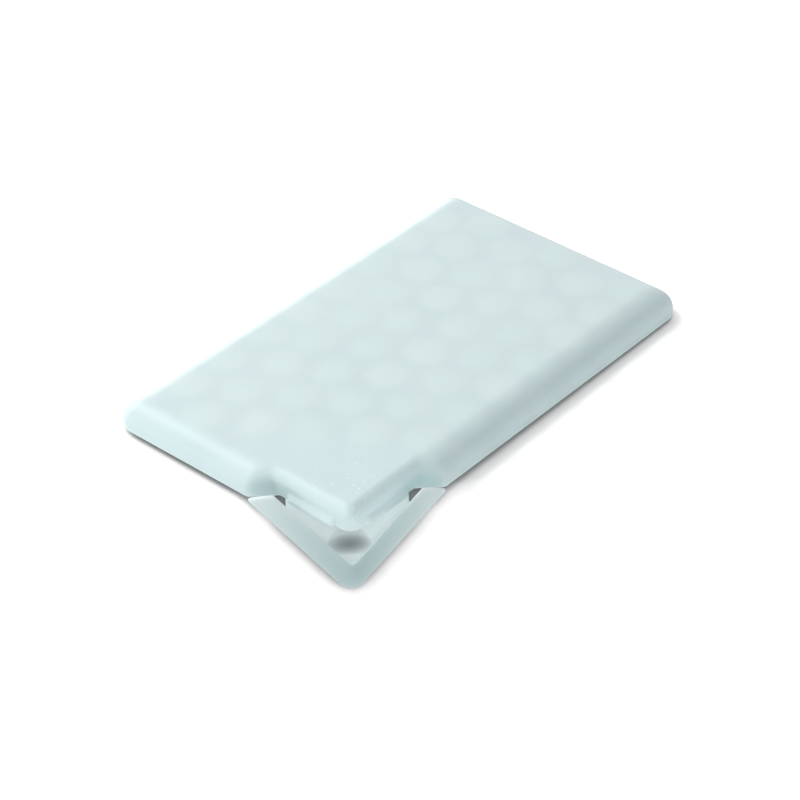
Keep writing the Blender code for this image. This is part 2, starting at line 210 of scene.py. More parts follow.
# Specks of dust by the outlet, drawn coarser than real dust so that they show, and the gate's mark
SPECK_SPACING = 0.0009
SPECK_EDGE_SHARE = 0.28
SPECK_CORE_SHARE = 0.14
SPECK_LEFT_OUT_SHARE = 0.6
SPECK_STRENGTH = 0.5
SPECK_MIDDLE = (CASE_CORNER.x + 0.0085, CASE_CORNER.y + 0.0075, CASE_HEIGHT)
SPECK_SPREAD = 0.011
SPECK_FULL_SHARE = 0.2
GATE_POINT = (CASE_CORNER.x + 0.0037, CASE_CORNER.y + 0.0037, 0.0036)
GATE_RADIUS = 0.00025
GATE_CORE_SHARE = 0.3
GATE_STRENGTH = 0.7

# Pressed sugar. Its real grains are under 0.2 mm wide: they are drawn coarser, so that they show.
MINT_GRAIN = 0.0003846
MINT_GRAIN_DEPTH = 0.00003
MINT_GRAIN_STRENGTH = 0.4
MINT_RAMP = (0.35, 0.6)

# Floor. Its gain is brighter than white, so that the camera sees lit paper as plain white and only
# its shadows as grey; its glow lights the underside.
FLOOR_REACH = 2.0
FLOOR_DROP = 0.03
FLOOR_CLEARANCE = 0.0015
FLOOR_FRONT_GAP = 0.0012
FLOOR_BACK_GAP = 0.00002
FLOOR_BEND_RADIUS = 0.006
FLOOR_FOOT_BEND_RADIUS = 0.018
FLOOR_BEND_STEPS = 24
FLOOR_GAIN = (1.52, 1.45, 1.43)
FLOOR_GLOW = 0.22
FLOOR_FADE_START = 0.09
FLOOR_FADE_END = 0.26
CONTACT_SHADOW_REACH = 0.0035
CONTACT_SHADOW_DARKEST = 0.15
CONTACT_SHADOW_LIGHTEST = 0.95
CONTACT_SHADOW_SAMPLES = 12
FLAP_SHADOW_REACH = 0.0046
FLAP_SHADOW_DARKEST = 0.35
FLAP_SHADOW_DEPTH = 0.006

# Light: the sky, then each softbox with its place, size and power in watts
SKY_STRENGTH = 0.34
SOFTBOXES = (
    ("key_softbox", (-0.22, 0.57, 0.53), (0.25, 0.25), 4.1),
    ("front_softbox", (-0.46, -0.40, 0.52), (0.3, 0.3), 1.85),
    ("rim_softbox", (0.40, 0.68, 0.14), (0.5, 0.2), 1.9),
)

# Camera, fitted to the outline in the photo; lens and sensor are in millimetres
CAMERA_LENS = 121.1
CAMERA_SENSOR = 36.0
CAMERA_NEAR = 0.01
CAMERA_PLACE = (-0.26954, -0.22779, 0.25811)
CAMERA_FORWARD = (0.6095, 0.5178, -0.6004)

# Colours as the eye reads them. A wall's tones are its dark and light streaks and its palest part,
# which is painted light: over the mints on the shell, and on the flap's floor.
CASE_TONES = ("#D4E2E3", "#D7E4E5", "#DAE6E5")
# The flap is drawn darker than the case, as painted shade on its rim, and its palest tone is
# painted light on its floor and arm ends.
FLAP_LIT_AND_SHADED_TONES = ("#B2C5C5", "#B7C9C9", "#F2F7F6")
PLASTIC_THROUGH_HEX = "#F2F9F9"
GATE_HEX = "#8FA3A3"
MINT_TONES = ("#CFE3DB", "#D9EAE3")
FLOOR_HEX = "#F1F4F5"
CONTACT_SHADOW_HEX = "#8F8A89"
SKY_HEX = "#F8FCFF"
WHITE_HEX = "#FFFFFF"


def linear(hex_colour):
    """An sRGB hex colour as linear RGBA."""
    channels = [int(hex_colour[place:place + 2], 16) / 255 for place in (1, 3, 5)]
    return [value / 12.92 if value <= 0.04045 else ((value + 0.055) / 1.055) ** 2.4
            for value in channels] + [1.0]


def add_node(tree, kind, links=None, values=None, **settings):
    """A node with its settings, its linked inputs and its set inputs."""
    made = tree.nodes.new(kind)
    for name, setting in settings.items():
        setattr(made, name, setting)
    for socket, source in (links or {}).items():
        tree.links.new(source, made.inputs[socket])
    for socket, value in (values or {}).items():
        made.inputs[socket].default_value = value
    return made


def new_material(name):
    material = bpy.data.materials.new(name)
    material.use_nodes = True
    material.node_tree.nodes.clear()
    return material, material.node_tree


def streaked_colour(tree, place, tones):
    """The wall's colour: faint streaks where the melt flowed, and painted light, paler where a mint
    lies close below the shell, on the flap's thin floor and towards the flap's arms' ends."""
    flow = add_node(tree, "ShaderNodeTexNoise", {"Vector": place},
                    {"Scale": 1 / FLOW_MARK_SIZE, "Detail": 2.0, "Roughness": 0.5})
    streaks = add_node(tree, "ShaderNodeValToRGB", {"Fac": flow.outputs["Fac"]})
    streaks.color_ramp.elements[0].position = FLOW_RAMP[0]
    streaks.color_ramp.elements[0].color = linear(tones[0])
    streaks.color_ramp.elements[1].position = FLOW_RAMP[1]
    streaks.color_ramp.elements[1].color = linear(tones[1])
    # Painted light: paler over the mints in the shell, and on the flap's floor and arm ends
    pale = add_node(tree, "ShaderNodeAttribute", attribute_name=PAINTED_LIGHT_SHARE)
    paler = add_node(tree, "ShaderNodeMix",
                     {"Factor": pale.outputs["Fac"], "A": streaks.outputs["Color"]},
                     {"B": linear(tones[2])}, data_type="RGBA")
    return paler.outputs["Result"]


def dusty_colour(tree, place, colour):
    """Pale specks of dust by the outlet: a dot in some cells of a pattern, fainter further away."""
    cell = add_node(tree, "ShaderNodeTexVoronoi", {"Vector": place}, {"Scale": 1 / SPECK_SPACING})
    chance = add_node(tree, "ShaderNodeSeparateColor", {"Color": cell.outputs["Color"]})
    dot = add_node(tree, "ShaderNodeMapRange", {"Value": cell.outputs["Distance"]},
                   {"From Min": SPECK_EDGE_SHARE, "From Max": SPECK_CORE_SHARE})
    kept = add_node(tree, "ShaderNodeMath", {0: chance.outputs["Red"]},
                    {1: SPECK_LEFT_OUT_SHARE}, operation="GREATER_THAN")
    away = add_node(tree, "ShaderNodeVectorMath", {0: place}, {1: SPECK_MIDDLE},
                    operation="DISTANCE")
    near = add_node(tree, "ShaderNodeMapRange", {"Value": away.outputs["Value"]},
                    {"From Min": SPECK_SPREAD, "From Max": SPECK_FULL_SHARE * SPECK_SPREAD,
                     "To Max": SPECK_STRENGTH})
    speck = add_node(tree, "ShaderNodeMath", {0: dot.outputs[0], 1: kept.outputs[0]},
                     operation="MULTIPLY")
    dust = add_node(tree, "ShaderNodeMath", {0: speck.outputs[0], 1: near.outputs[0]},
                    operation="MULTIPLY")
    dusty = add_node(tree, "ShaderNodeMix", {"Factor": dust.outputs[0], "A": colour},
                     {"B": linear(WHITE_HEX)}, data_type="RGBA")
    return dusty.outputs["Result"]


def marked_colour(tree, place, colour):
    """The small dull mark that the gate left on the tip of the nose."""
    away = add_node(tree, "ShaderNodeVectorMath", {0: place}, {1: GATE_POINT},
                    operation="DISTANCE")
    gate = add_node(tree, "ShaderNodeMapRange", {"Value": away.outputs["Value"]},
                    {"From Min": GATE_RADIUS, "From Max": GATE_CORE_SHARE * GATE_RADIUS,
                     "To Max": GATE_STRENGTH})
    marked = add_node(tree, "ShaderNodeMix", {"Factor": gate.outputs[0], "A": colour},
                      {"B": linear(GATE_HEX)}, data_type="RGBA")
    return marked.outputs["Result"]


def clear_share(tree, seen_through, lit_through):
    """The share of the wall that is clear: a little for the eye, more for the lamps and where it
    is thin, and all of it on the way out, so that a wall counts once."""
    for_lamps = add_node(tree, "ShaderNodeLightPath").outputs["Is Shadow Ray"]
    clearness = add_node(tree, "ShaderNodeMapRange", {"Value": for_lamps},
                         {"To Min": seen_through, "To Max": lit_through})
    thin = add_node(tree, "ShaderNodeAttribute", attribute_name=THIN_WALL)
    thinner = add_node(tree, "ShaderNodeMath", {0: thin.outputs["Fac"], 2: clearness.outputs[0]},
                       {1: DISH_SEEN_THROUGH}, operation="MULTIPLY_ADD", use_clamp=True)
    leaving = add_node(tree, "ShaderNodeNewGeometry").outputs["Backfacing"]
    return add_node(tree, "ShaderNodeMath", {0: thinner.outputs[0], 1: leaving},
                    operation="MAXIMUM").outputs[0]


def frosted_polypropylene(name, tones, seen_through, lit_through):
    """Moulded polypropylene with a spark-eroded surface: milky, soft where light enters it, and
    with a broad, faint gloss."""
    material, tree = new_material(name)
    place = add_node(tree, "ShaderNodeTexCoord").outputs["Object"]
    colour = streaked_colour(tree, place, tones)
    colour = dusty_colour(tree, place, colour)
    colour = marked_colour(tree, place, colour)
    erosion = add_node(tree, "ShaderNodeTexNoise", {"Vector": place},
                       {"Scale": 1 / EROSION_GRAIN, "Detail": 2.0, "Roughness": 0.6})
    bump = add_node(tree, "ShaderNodeBump", {"Height": erosion.outputs["Fac"]},
                    {"Strength": EROSION_STRENGTH, "Distance": EROSION_DEPTH})
    shader = add_node(tree, "ShaderNodeBsdfPrincipled",
                      {"Base Color": colour, "Normal": bump.outputs["Normal"]},
                      {"Roughness": 0.45, "IOR": 1.49, "Specular IOR Level": 0.4,
                       "Subsurface Weight": 1.0, "Subsurface Radius": (1.0, 1.0, 1.0),
                       "Subsurface Scale": SCATTER_LENGTH})
    clear = add_node(tree, "ShaderNodeBsdfTransparent",
                     values={"Color": linear(PLASTIC_THROUGH_HEX)})
    wall = add_node(tree, "ShaderNodeMixShader",
                    {0: clear_share(tree, seen_through, lit_through),
                     1: shader.outputs["BSDF"], 2: clear.outputs[0]})
    add_node(tree, "ShaderNodeOutputMaterial", {"Surface": wall.outputs[0]})
    return material


def pressed_mint():
    """Pressed sugar: matt and chalky, with small pale grains on a faint green."""
    material, tree = new_material("pressed_mint")
    place = add_node(tree, "ShaderNodeTexCoord").outputs["Object"]
    grain = add_node(tree, "ShaderNodeTexNoise", {"Vector": place},
                     {"Scale": 1 / MINT_GRAIN, "Detail": 3.0, "Roughness": 0.6})
    tint = add_node(tree, "ShaderNodeValToRGB", {"Fac": grain.outputs["Fac"]})
    tint.color_ramp.elements[0].position = MINT_RAMP[0]
    tint.color_ramp.elements[0].color = linear(MINT_TONES[0])
    tint.color_ramp.elements[1].position = MINT_RAMP[1]
    tint.color_ramp.elements[1].color = linear(MINT_TONES[1])
    bump = add_node(tree, "ShaderNodeBump", {"Height": grain.outputs["Fac"]},
                    {"Strength": MINT_GRAIN_STRENGTH, "Distance": MINT_GRAIN_DEPTH})
    shader = add_node(tree, "ShaderNodeBsdfPrincipled",
                      {"Base Color": tint.outputs["Color"], "Normal": bump.outputs["Normal"]},
                      {"Roughness": 0.7, "IOR": 1.5, "Specular IOR Level": 0.3})
    add_node(tree, "ShaderNodeOutputMaterial", {"Surface": shader.outputs["BSDF"]})
    return material


def outline(corners, radii, edge_points=None):
    """Points round a polygon, anticlockwise: an arc at each corner, then points along the edge."""
    points = []
    edge_points = edge_points or (0,) * len(corners)
    for index, radius in enumerate(radii):
        corner = Vector(corners[index])
        back = Vector(corners[index - 1]) - corner
        onward = Vector(corners[(index + 1) % len(corners)]) - corner
        half_angle = back.angle(onward) / 2
        room = FILLET_LIMIT_SHARE * min(back.length, onward.length)
        set_back = min(radius / math.tan(half_angle), room)
        fitted = set_back * math.tan(half_angle)
        bisector = (back.normalized() + onward.normalized()).normalized()
        centre = corner + bisector * (fitted / math.sin(half_angle))
        start = corner + back.normalized() * set_back - centre
        turn = start.angle_signed(corner + onward.normalized() * set_back - centre)
        heading = math.atan2(start.y, start.x)
        for step in range(ARC_STEPS + 1):
            angle = heading - turn * step / ARC_STEPS
            points.append(centre + fitted * Vector((math.cos(angle), math.sin(angle))))
        points.extend([None] * edge_points[index])
    return fill_gaps(points)


def fill_gaps(points):
    """Even points along the edges, in place of the gaps left for them."""
    filled = list(points)
    for index, point in enumerate(points):
        if point is not None:
            start = index
            continue
        end = index
        while points[end % len(points)] is None:
            end += 1
        share = (index - start) / (end - start)
        filled[index] = points[start].lerp(points[end % len(points)], share)
    return filled


def lift(points, height):
    return [Vector((point.x, point.y, height)) for point in points]


def skin(builder, lower, upper):
    """Faces between two rings of corners, facing out when the rings run anticlockwise and up."""
    for index in range(len(lower)):
        following = (index + 1) % len(lower)
        builder.faces.new((lower[index], lower[following], upper[following], upper[index]))


def finish_mesh(name, builder):
    mesh = bpy.data.meshes.new(name)
    builder.to_mesh(mesh)
    builder.free()
    return mesh


def loft_mesh(name, rings):
    """A closed solid through rings of points, from the lowest to the highest."""
    builder = bmesh.new()
    loops = [[builder.verts.new(point) for point in ring] for ring in rings]
    builder.faces.new(reversed(loops[0]))
    for lower, upper in zip(loops, loops[1:]):
        skin(builder, lower, upper)
    builder.faces.new(loops[-1])
    return finish_mesh(name, builder)


def add_piece(name, mesh, material):
    piece = bpy.data.objects.new(name, mesh)
    bpy.context.scene.collection.objects.link(piece)
    mesh.materials.append(material)
    return piece


def modify(piece, kind, **settings):
    step = piece.modifiers.new(kind.lower(), kind)
    for name, setting in settings.items():
        setattr(step, name, setting)


def combine(piece, mesh, operation):
    """Join another closed solid to a piece, or cut it out."""
    tool = bpy.data.objects.new("tool", mesh)
    bpy.context.scene.collection.objects.link(tool)
    modify(piece, "BOOLEAN", object=tool, operation=operation, solver="EXACT")
    bake(piece)
    bpy.data.objects.remove(tool)


def bake(piece):
    """Turn a piece's modifiers into its mesh."""
    bpy.context.view_layer.update()
    evaluated = piece.evaluated_get(bpy.context.evaluated_depsgraph_get())
    made = bpy.data.meshes.new_from_object(evaluated)
    piece.modifiers.clear()
    piece.data = made


def smooth(piece, degrees):
    piece.data.shade_smooth()
    piece.data.set_sharp_from_angle(angle=math.radians(degrees))


def ellipse_inset(height, foot, top, run):
    """How far a quarter ellipse has drawn in at a height."""
    climbed = min(max((height - foot) / (top - foot), 0), 1)
    return run * (1 - math.sqrt(1 - climbed * climbed))


def outer_insets(height):
    """How far the shell's sides, shoulders and nose have drawn in at a height."""
    shoulder_foot = CASE_HEIGHT - SHOULDER_EDGE_RISE
    nose_foot = CASE_HEIGHT - NOSE_EDGE_RISE
    return (ellipse_inset(height, SHELL_EDGE_FOOT, CASE_HEIGHT, SHELL_EDGE_RUN),
            ellipse_inset(height, shoulder_foot, CASE_HEIGHT, SHOULDER_EDGE_RUN),
            NOSE_SET_BACK + ellipse_inset(height, nose_foot, CASE_HEIGHT, NOSE_EDGE_RUN))


def inner_insets(height):
    """The same for the walls of the chamber and the outlet."""
    shoulder_foot = CASE_HEIGHT - SHOULDER_EDGE_RISE
    nose_foot = CASE_HEIGHT - NOSE_EDGE_RISE
    side_run = SHELL_EDGE_RUN - SHELL_WALL
    shoulder_run = SHOULDER_EDGE_RUN - SHELL_WALL
    nose_run = NOSE_EDGE_RUN - NOSE_WALL
    return (SHELL_WALL + ellipse_inset(height, SHELL_EDGE_FOOT, ROOF_HEIGHT, side_run),
            SHELL_WALL + ellipse_inset(height, shoulder_foot, ROOF_HEIGHT, shoulder_run),
            NOSE_SET_BACK + NOSE_WALL + ellipse_inset(height, nose_foot, ROOF_HEIGHT, nose_run))


def shell_outline(insets, share, wall):
    """The top shell in plan, or its chamber, at one height; share is how far up its round it is."""
    side, shoulder, nose = insets
    reach = SHELL_REACH + shoulder * DIAGONAL
    right = CASE_LENGTH - side
    back = CASE_WIDTH - side
    set_back = reach - side + SHOULDER_LEAN * share
    corners = ((side, set_back), (nose, reach - nose), (nose, nose), (reach - nose, nose),
               (set_back, side), (right, side), (right, back), (side, back))
    shoulder_radius = SHOULDER_RADIUS * (1 + share)
    case_radius = (CASE_CORNER_RADIUS - wall) * (1 - share) + CREST_CORNER_RADIUS * share
    nose_radius = (NOSE_CORNER_RADIUS - wall) * (1 - share) + CREST_CORNER_RADIUS * share
    radii = (shoulder_radius, shoulder_radius, nose_radius, shoulder_radius,
             shoulder_radius, case_radius, case_radius, case_radius)
    return outline(corners, radii, (0, NOSE_WALL_POINTS, NOSE_WALL_POINTS, 0, 0, 0, 0, 0))


def smooth_step(value):
    held = min(max(value, 0), 1)
    return held * held * (3 - 2 * held)


def ledge_swell(along, height):
    """How far the snap ledge stands out from the nose's wall at a place along it."""
    to_end = min(along - LEDGE_NEAR_END, LEDGE_FAR_END - along)
    if to_end <= 0:
        return 0
    bite = 1 - min(to_end / LEDGE_END_ROUND, 1)
    ends = math.sqrt(1 - bite * bite)
    fall = smooth_step((LEDGE_SLOPE_TOP - height) / (LEDGE_SLOPE_TOP - LEDGE_FACE_TOP))
    return LEDGE_REACH * ends * fall


def with_ledges(points, height):
    """The shell's outline with its nose walls swollen into the ledges."""
    swollen = []
    for point in points:
        x, y = point
        if x < y and x < NOSE_SET_BACK + SHELL_FOOT_ROUND:
            x -= ledge_swell(y, height)
        elif y < NOSE_SET_BACK + SHELL_FOOT_ROUND:
            y -= ledge_swell(x, height)
        swollen.append(Vector((x, y)))
    return swollen


def rise_heights(foot, top):
    """Heights up the wall: even past the ledges, then close together towards the crest."""
    for step in range(LEDGE_STEPS):
        yield foot + (LEDGE_SLOPE_TOP - foot) * step / LEDGE_STEPS
    start = math.asin((LEDGE_SLOPE_TOP - foot) / (top - foot))
    for step in range(RISE_STEPS + 1):
        angle = start + (math.pi / 2 - start) * step / RISE_STEPS
        yield foot + (top - foot) * math.sin(angle)


def rounded_share(height, foot, top):
    """How far round its quarter turn the wall is at a height, from 0 at its foot to 1."""
    return math.asin(min((height - foot) / (top - foot), 1)) / (math.pi / 2)


def shell_rings(insets, top, wall, foot_inset):
    """Rings up one side of the shell's wall, from its foot to its crest."""
    side, shoulder, nose = insets(SHELL_FOOT)
    foot = shell_outline((side + foot_inset, shoulder + foot_inset, nose + foot_inset), 0, wall)
    rings = [lift(with_ledges(foot, SHELL_FOOT) if wall == 0 else foot, SHELL_FOOT)]
    for height in rise_heights(SHELL_EDGE_FOOT, top):
        share = rounded_share(height, SHELL_EDGE_FOOT, top)
        points = shell_outline(insets(height), share, wall)
        rings.append(lift(with_ledges(points, height) if wall == 0 else points, height))
    return rings


def cut_grid(builder):
    """Cut the outer faces above the mints into a grid, fine enough to carry their discs of painted
    light.
    """
    for size, normal in ((CASE_LENGTH, Vector((1, 0, 0))), (CASE_WIDTH, Vector((0, 1, 0)))):
        for step in range(1, int(size / GRID_STEP)):
            upper = [face for face in builder.faces
                     if face.calc_center_median().z > MINT_SHINE_LOW and face.normal.z >= 0]
            edges = {edge for face in upper for edge in face.edges}
            corners = {corner for face in upper for corner in face.verts}
            bmesh.ops.bisect_plane(builder, geom=upper + list(edges) + list(corners),
                                   plane_co=normal * (GRID_STEP * step), plane_no=normal)


def store_mint_shine(mesh):
    """Keep on each corner how much painted light a mint close below adds there, from 0 to 1."""
    middles = KDTree(len(MINT_NODES))
    chance = random.Random(MINT_SHINE_SEED)
    strengths = [chance.uniform(*MINT_SHINE_RANGE) for _ in MINT_NODES]
    for index, node in enumerate(MINT_NODES):
        low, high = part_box(node)
        middles.insert(((low + high) / 2).to_2d().to_3d(), index)
    middles.balance()
    shine = mesh.attributes.new(PAINTED_LIGHT_SHARE, "FLOAT", "POINT")
    for corner, value in zip(mesh.vertices, shine.data):
        _, nearest, away = middles.find(corner.co.to_2d().to_3d())
        fade = smooth_step((MINT_SHINE_REACH - away) / (MINT_SHINE_REACH - MINT_SHINE_EDGE))
        rise = smooth_step((corner.co.z - MINT_SHINE_LOW) / (CASE_HEIGHT - MINT_SHINE_LOW))
        value.value = strengths[nearest] * fade * rise


def make_shell(material):
    """The top shell as one wall: outside, foot, chamber and roof."""
    outer = shell_rings(outer_insets, CASE_HEIGHT, 0, SHELL_FOOT_ROUND)
    inner = shell_rings(inner_insets, ROOF_HEIGHT, SHELL_WALL, 0)
    builder = bmesh.new()
    outer_loops = [[builder.verts.new(point) for point in ring] for ring in outer]
    inner_loops = [[builder.verts.new(point) for point in ring] for ring in inner]
    for lower, upper in zip(outer_loops, outer_loops[1:]):
        skin(builder, lower, upper)
    for lower, upper in zip(inner_loops, inner_loops[1:]):
        skin(builder, upper, lower)
    skin(builder, inner_loops[0], outer_loops[0])
    builder.faces.new(outer_loops[-1])
    builder.faces.new(reversed(inner_loops[-1]))
    cut_grid(builder)
    mesh = finish_mesh("shell_skin", builder)
    mesh.transform(Matrix.Translation(CASE_CORNER))
    store_mint_shine(mesh)
    piece = add_piece("shell_skin", mesh, material)
    smooth(piece, SHELL_SHARP_ANGLE)
    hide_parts("top_shell")
    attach(piece, "case")


def plate_outline(inset, reach, radius):
    right = CASE_LENGTH - inset
    back = CASE_WIDTH - inset
    corners = ((inset, reach - inset), (reach - inset, inset), (right, inset), (right, back),
               (inset, back))
    return outline(corners, (ARM_END_RADIUS, ARM_END_RADIUS, radius, radius, radius))


def rounded_levels(low, high, low_round, high_round):
    """Insets and heights up a slab's side, with a small round at both edges."""
    for step in range(EDGE_STEPS + 1):
        angle = math.pi / 2 * step / EDGE_STEPS
        yield low_round * (1 - math.sin(angle)), low + low_round * (1 - math.cos(angle))
    for step in range(EDGE_STEPS + 1):
        angle = math.pi / 2 * step / EDGE_STEPS
        yield high_round * (1 - math.cos(angle)), high - high_round * (1 - math.sin(angle))


def make_plate(material):
    """The base plate, with the low rib that centres the shell."""
    levels = rounded_levels(0, PLATE_THICKNESS, PLATE_FOOT_ROUND, PLATE_SEAM_ROUND)
    rings = [lift(plate_outline(inset, PLATE_REACH, CASE_CORNER_RADIUS), height)
             for inset, height in levels]
    piece = add_piece("plate_skin", loft_mesh("plate_skin", rings), material)
    rib_reach = PLATE_REACH + RIB_SET_BACK * DIAGONAL
    rib = plate_outline(RIB_SET_BACK, rib_reach, CASE_CORNER_RADIUS - RIB_SET_BACK)
    inner = RIB_SET_BACK + RIB_THICKNESS
    room = plate_outline(inner, PLATE_REACH, CASE_CORNER_RADIUS - inner)
    rib_block = loft_mesh("rib", [lift(rib, PLATE_THICKNESS / 2), lift(rib, RIB_TOP)])
    rib_room = loft_mesh("room", [lift(room, PLATE_THICKNESS), lift(room, RIB_TOP + OVERRUN)])
    combine(piece, rib_block, "UNION")
    combine(piece, rib_room, "DIFFERENCE")
    piece.data.transform(Matrix.Translation(CASE_CORNER))
    smooth(piece, PLATE_SHARP_ANGLE)
    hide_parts("base_plate")
    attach(piece, "case")


def flap_outline(inset, reach, radius):
    corners = ((inset, reach - inset), (inset, inset), (reach - inset, inset))
    return outline(corners, (ARM_END_RADIUS, radius, ARM_END_RADIUS))


def rim_levels(wall):
    """Share, inset and height up the rim's curve, outside or a wall's thickness further in."""
    run = SHELL_EDGE_RUN - wall
    rise = CASE_HEIGHT - SHELL_EDGE_FOOT - wall
    widest = math.acos((SHELL_EDGE_RUN - RIM_WIDTH) / run)
    for step in range(RISE_STEPS + 1):
        angle = widest * step / RISE_STEPS
        inset = SHELL_EDGE_RUN - run * math.cos(angle) - FLAP_PROUD
        yield step / RISE_STEPS, inset, SHELL_EDGE_FOOT + rise * math.sin(angle)


def flap_body():
    """The flap as a block: a small round at its foot, then the case's own curve."""
    rings = []
    for step in range(EDGE_STEPS):
        angle = math.pi / 2 * step / EDGE_STEPS
        inset = PLATE_FOOT_ROUND * (1 - math.sin(angle)) - FLAP_PROUD
        height = PLATE_FOOT_ROUND * (1 - math.cos(angle))
        rings.append(lift(flap_outline(inset, FLAP_REACH, FLAP_TIP_RADIUS), height))
    for share, inset, height in rim_levels(0):
        radius = FLAP_TIP_RADIUS * (1 - share) + RIM_CREST_RADIUS * share
        rings.append(lift(flap_outline(inset, FLAP_REACH, radius), height))
    return loft_mesh("flap_skin", rings)


def flap_hollow():
    """The room behind the rim, open above the floor and at the arms' ends."""
    reach = FLAP_REACH + OVERRUN
    foot_radius = FLAP_TIP_RADIUS - RIM_WALL
    rings = [lift(flap_outline(RIM_WALL - FLAP_PROUD, reach, foot_radius), PLATE_THICKNESS)]
    for share, inset, height in rim_levels(RIM_WALL):
        radius = foot_radius * (1 - share) + RIM_CREST_RADIUS * share
        rings.append(lift(flap_outline(inset, reach, radius), height))
    crest = flap_outline(RIM_WIDTH - FLAP_PROUD, reach, RIM_CREST_RADIUS)
    rings.append(lift(crest, CASE_HEIGHT + OVERRUN))
    return loft_mesh("hollow", rings)


def cap_mesh(radius, depth, head):
    """A spherical cap below the floor's top, closed by a flat head at some height."""
    sphere = (radius * radius + depth * depth) / (2 * depth)
    centre = sphere - depth
    spread = math.acos((centre - min(head, 0)) / sphere)
    builder = bmesh.new()
    rings = []
    profile = [(sphere * math.sin(spread * step / DISH_RINGS),
                centre - sphere * math.cos(spread * step / DISH_RINGS))
               for step in range(1, DISH_RINGS + 1)]
    if head > 0:
        profile.append((radius, head))
    for out, height in profile:
        rings.append([builder.verts.new((out * math.cos(math.tau * step / DISH_STEPS),
                                         out * math.sin(math.tau * step / DISH_STEPS), height))
                      for step in range(DISH_STEPS)])
    lowest = builder.verts.new((0, 0, -depth))
    for step in range(DISH_STEPS):
        builder.faces.new((lowest, rings[0][(step + 1) % DISH_STEPS], rings[0][step]))
    for lower, upper in zip(rings, rings[1:]):
        skin(builder, lower, upper)
    builder.faces.new(rings[-1])
    mesh = finish_mesh("cap", builder)
    mesh.transform(Matrix.Translation((DISH_SET_BACK, DISH_SET_BACK, PLATE_THICKNESS)))
    return mesh


def window_mesh(side):
    """A relief window at one end of the film hinge, drawn across the diagonal."""
    hinge_line = HINGE_REACH / DIAGONAL
    near = side * FILM_LENGTH / 2
    far = side * (FILM_LENGTH / 2 + WINDOW_LENGTH)
    low = Vector((hinge_line - WINDOW_DEPTH, min(near, far), -OVERRUN))
    high = Vector((hinge_line, max(near, far), PLATE_THICKNESS + OVERRUN))
    builder = bmesh.new()
    bmesh.ops.create_cube(builder, size=1)
    bmesh.ops.scale(builder, vec=high - low, verts=builder.verts)
    bmesh.ops.translate(builder, vec=(low + high) / 2, verts=builder.verts)
    turn = Matrix.Rotation(math.pi / 4, 3, "Z")
    bmesh.ops.rotate(builder, cent=(0, 0, 0), matrix=turn, verts=builder.verts)
    return finish_mesh("window", builder)


def swung_open():
    """From the shut flap, drawn at the outlet corner, to its place at rest."""
    turn = Matrix.Rotation(FLAP_OPEN_ANGLE, 4, HINGE_AXIS)
    about_hinge = Matrix.Translation(HINGE_POINT) @ turn @ Matrix.Translation(-HINGE_POINT)
    return about_hinge @ Matrix.Translation(CASE_CORNER)


def store_painted_light_flap(mesh):
    """Keep on each corner how much painted light the flap has there: its thin floor is painted
    palest, and its rim is painted paler towards the arms' ends, darker at the tip."""
    pale = mesh.attributes.new(PAINTED_LIGHT_SHARE, "FLOAT", "POINT")
    floor_edge = RIM_WALL - FLAP_PROUD - FLAP_EDGE_ROUND
    floor_top = PLATE_THICKNESS + 2 * FLAP_EDGE_ROUND
    for corner, value in zip(mesh.vertices, pale.data):
        x, y, height = corner.co
        # Painted light: the floor palest, the rim paler from the tip towards the arms' ends
        if min(x, y) > floor_edge and height < floor_top and corner.normal.z > FLOOR_FACES_UP:
            value.value = 1.0
        else:
            past_tip = (max(x, y) - FLAP_TIP_RADIUS) / (FLAP_REACH - FLAP_TIP_RADIUS)
            value.value = ARM_PAINTED_LIGHT_SHARE * min(max(past_tip, 0), 1)


def store_thin_wall(mesh):
    """Keep on each corner how thin the dish has made the flap's floor there."""
    thin = mesh.attributes.new(THIN_WALL, "FLOAT", "POINT")
    for corner, value in zip(mesh.vertices, thin.data):
        x, y = corner.co.x - DISH_SET_BACK, corner.co.y - DISH_SET_BACK
        along = ((x + y) / DIAGONAL - DISH_THIN_SHIFT) / DISH_THIN_LENGTH
        across = (x - y) / DIAGONAL / DISH_THIN_WIDTH
        if corner.co.z < PLATE_THICKNESS + FLAP_EDGE_ROUND:
            value.value = max(1 - along * along - across * across, 0)


def make_flap(material):
    """The corner flap: its rim and floor, the dish and the relief windows, swung open."""
    piece = add_piece("flap_skin", flap_body(), material)
    combine(piece, flap_hollow(), "DIFFERENCE")
    combine(piece, cap_mesh(DISH_RADIUS, DISH_DEPTH + DISH_WALL, -PLATE_THICKNESS / 2), "UNION")
    combine(piece, cap_mesh(DISH_RADIUS, DISH_DEPTH, OVERRUN), "DIFFERENCE")
    for side in (1, -1):
        combine(piece, window_mesh(side), "DIFFERENCE")
    modify(piece, "BEVEL", width=FLAP_EDGE_ROUND, segments=FLAP_EDGE_SEGMENTS,
           limit_method="ANGLE", angle_limit=math.radians(FLAP_BEVEL_ANGLE),
           harden_normals=False)
    bake(piece)
    store_painted_light_flap(piece.data)
    store_thin_wall(piece.data)
    piece.data.transform(swung_open())
    smooth(piece, FLAP_SHARP_ANGLE)
    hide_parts("corner_flap")
    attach(piece, "flap")


